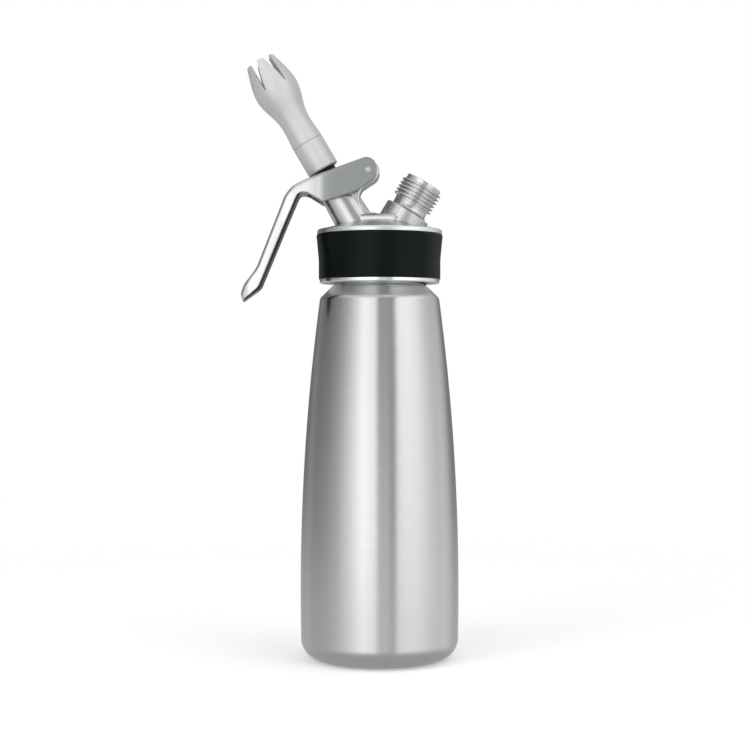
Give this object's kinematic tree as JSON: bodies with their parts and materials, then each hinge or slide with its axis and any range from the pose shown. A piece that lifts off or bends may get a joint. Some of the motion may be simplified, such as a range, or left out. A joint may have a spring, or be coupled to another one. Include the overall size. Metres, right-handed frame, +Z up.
{
  "type": "whipped cream dispenser",
  "caption": "Upright steel bottle with a screw-on head, a sprung squeeze lever, a tilted valve tower with a petal-tipped nozzle, and a threaded gas charger inlet.",
  "frame": {"origin": "middle of the bottle's flat base, on the surface it stands on", "axes": "+Z up along the bottle, +X towards the gas charger inlet, -X towards the squeeze lever and the nozzle, Y across the lever's pivot pin"},
  "size_m": [0.1127, 0.082, 0.3132],
  "materials": {
    "satin_steel": "fine satin brushing round the bottle",
    "turned_steel": "turned and polished lip",
    "cast_steel": "satin cast stainless steel with polished edges",
    "lever_steel": "polished handle, satin cheeks",
    "polished_steel": "polished turned steel",
    "pin_steel": "plain turned pin",
    "adapter_steel": "turned",
    "stem_steel": "turned",
    "spring_steel": "drawn spring wire",
    "brass": "turned brass",
    "black_silicone": "near-black soft matte silicone",
    "black_rubber": "black seal rubber",
    "red_silicone": "soft red silicone",
    "white_plastic": "frosted off-white plastic",
    "white_bush": "smooth bearing plastic"
  },
  "bodies": {
    "bottle": {"bottle_shell": "satin_steel"},
    "gasket": {"head_gasket": "red_silicone"},
    "head": {"head_casting": "cast_steel", "cap_sleeve": "turned_steel", "grip_band": "black_silicone", "charger_inlet": "polished_steel", "inlet_gasket": "black_rubber", "needle_holder": "brass", "piercing_needle": "stem_steel", "charger_seal": "black_rubber", "check_valve_sleeve": "red_silicone", "valve_seat": "white_bush", "stem_guide_bush": "white_bush", "pivot_bush_near": "white_bush", "pivot_bush_far": "white_bush", "return_spring": "spring_steel"},
    "lever": {"lever": "lever_steel", "pivot_pin": "pin_steel"},
    "valve": {"valve_stem": "stem_steel", "valve_seal": "black_rubber", "stem_ring_lower": "black_rubber", "stem_ring_upper": "black_rubber", "stem_collar": "stem_steel", "nozzle_adapter": "adapter_steel"},
    "nozzle_seal": {"nozzle_ring": "black_rubber"},
    "nozzle": {"decorator_nozzle": "white_plastic"}
  },
  "joints": [
    {"name": "head_rise", "type": "slide", "parent": "bottle", "child": "gasket", "axis": [0, 0, 1], "range_m": [0, 0.014]},
    {"name": "head_unscrew", "type": "hinge", "parent": "gasket", "child": "head", "pos_m": [0, 0, 0.217], "axis": [0, 0, 1], "range_deg": [0, 1260]},
    {"name": "lever_squeeze", "type": "hinge", "parent": "head", "child": "lever", "pos_m": [-0.0059, 0, 0.2524], "axis": [0, -1, 0], "range_deg": [0, 9.4], "stiffness_Nm_per_rad": 0.95, "springref_deg": -11.46},
    {"name": "valve_press", "type": "slide", "parent": "head", "child": "valve", "axis": [0.509, 0, -0.8607], "range_m": [0, 0.0035], "deforming": ["return_spring"]},
    {"name": "nozzle_rise", "type": "slide", "parent": "valve", "child": "nozzle_seal", "axis": [-0.509, 0, 0.8607], "range_m": [0, 0.006]},
    {"name": "nozzle_unscrew", "type": "hinge", "parent": "nozzle_seal", "child": "nozzle", "pos_m": [-0.02896, 0, 0.25318], "axis": [-0.509, 0, 0.8607], "range_deg": [0, 1080]}
  ],
  "couplings": [
    {"joint": "head_unscrew", "follows": "head_rise", "rad_per_m": 1570.8},
    {"joint": "valve_press", "follows": "lever_squeeze", "m_per_rad": 0.02054},
    {"joint": "nozzle_unscrew", "follows": "nozzle_rise", "rad_per_m": 3141.6}
  ]
}
